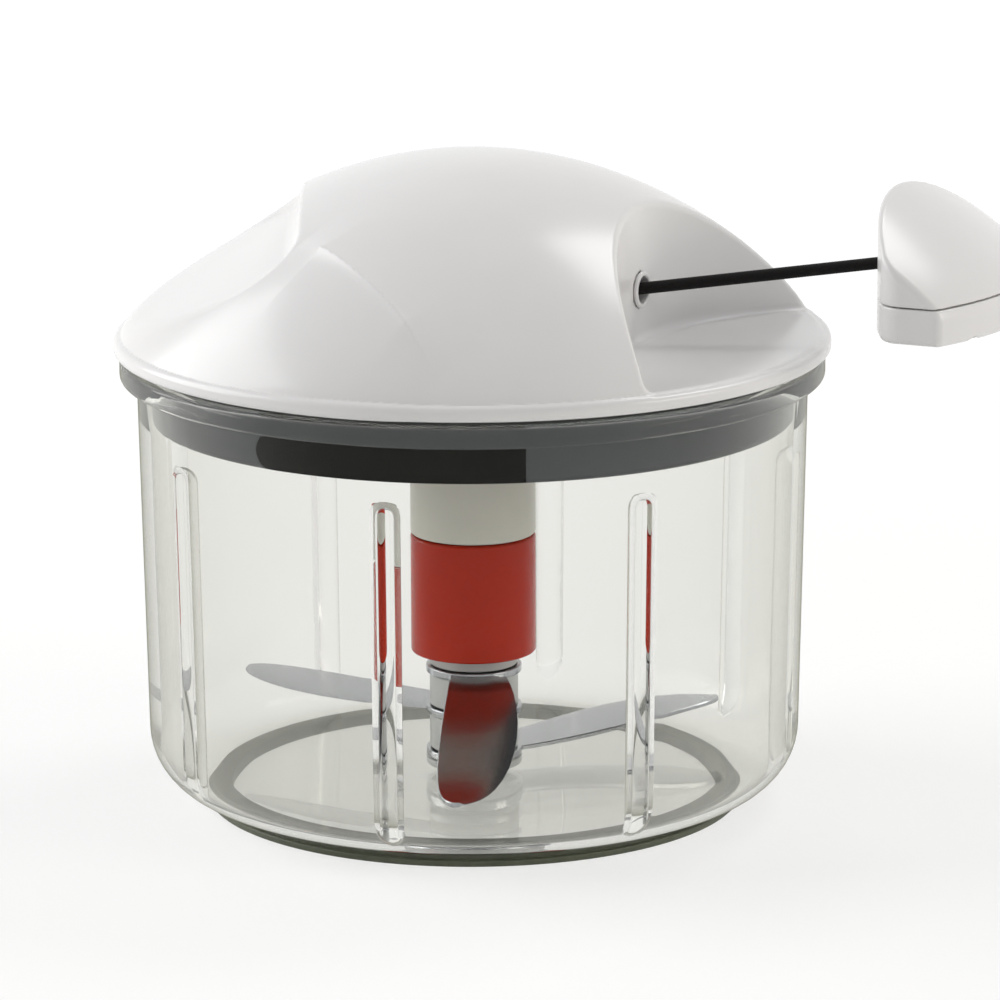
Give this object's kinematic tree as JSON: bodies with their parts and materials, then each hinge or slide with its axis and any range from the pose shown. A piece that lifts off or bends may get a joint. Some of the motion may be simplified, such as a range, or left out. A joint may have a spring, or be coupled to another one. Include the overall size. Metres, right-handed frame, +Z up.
{
  "type": "manual food chopper",
  "caption": "Manual food chopper: a clear ribbed bowl, a domed white lid with a pull cord, and a stack of staggered blades on a red-sleeved hub.",
  "frame": {"origin": "on the table under the bowl's axis; the flat underside of the bowl lies 1 mm above it on the foot ring", "axes": "+Z up along the bowl's axis, +X towards the side that the handle is pulled out to, -Y towards the front"},
  "size_m": [0.2062, 0.16, 0.146],
  "materials": {
    "lid_white": "glossy",
    "frame_grey": "satin",
    "light_grey": "satin",
    "red": "glossy",
    "clear": "glossy",
    "steel": "satin",
    "bronze": "satin",
    "dark_rubber": "matt",
    "dark_plastic": "glossy",
    "cord_black": "matt"
  },
  "bodies": {
    "bowl_body": {"bowl": "clear", "foot_ring": "dark_rubber", "pivot_pin": "steel"},
    "lid_body": {"lid_seal": "dark_rubber", "lid_frame": "frame_grey", "skirt_inlay": "dark_plastic", "lid_cover": "lid_white", "cord_eyelet": "dark_plastic", "spring_cover": "light_grey", "lid_screw_1": "steel", "lid_screw_2": "steel", "lid_screw_3": "steel", "lid_screw_4": "steel", "cover_screw_1": "steel", "cover_screw_2": "steel", "cover_screw_3": "steel", "lower_bush": "bronze", "upper_bush": "bronze", "recoil_spring": "steel"},
    "drive_body": {"cord_drum": "light_grey", "cord_winding": "cord_black", "drive_spindle": "steel", "drive_socket": "lid_white"},
    "handle_body": {"handle_top": "lid_white", "handle_base": "lid_white", "handle_screw_1": "steel", "handle_screw_2": "steel", "cord_knot": "cord_black", "pull_cord": "cord_black"},
    "blade_seat": {"hub_bush": "bronze"},
    "blade_unit": {"blade_hub": "light_grey", "hub_spacer_low": "light_grey", "hub_spacer_mid": "light_grey", "hub_spacer_top": "light_grey", "blade_low": "steel", "blade_mid": "steel", "blade_high": "steel", "blade_sleeve": "red"}
  },
  "joints": [
    {"name": "lid_lift", "type": "slide", "parent": "bowl_body", "child": "lid_body", "axis": [0, 0, 1], "range_m": [0, 0.12]},
    {"name": "drum_spin", "type": "hinge", "parent": "lid_body", "child": "drive_body", "pos_m": [0, 0, 0.11], "axis": [0, 0, 1], "range_deg": [-211.1, 1127.8], "deforming": ["recoil_spring"]},
    {"name": "handle_pull", "type": "slide", "parent": "lid_body", "child": "handle_body", "axis": [0.9945, 0, 0.1045], "range_m": [-0.055, 0.295], "stiffness_N_per_m": 12, "springref_m": -0.2, "deforming": ["pull_cord"]},
    {"name": "blade_lift", "type": "slide", "parent": "bowl_body", "child": "blade_seat", "axis": [0, 0, 1], "range_m": [0, 0.061]},
    {"name": "blade_spin", "type": "hinge", "parent": "blade_seat", "child": "blade_unit", "pos_m": [0, 0, 0.02], "axis": [0, 0, 1], "range_deg": [-211.1, 1127.8]}
  ],
  "couplings": [
    {"joint": "drum_spin", "follows": "handle_pull", "rad_per_m": 66.667},
    {"joint": "blade_spin", "follows": "handle_pull", "rad_per_m": 66.667},
    {"joint": "blade_lift", "follows": "lid_lift", "ratio": 0.5}
  ]
}
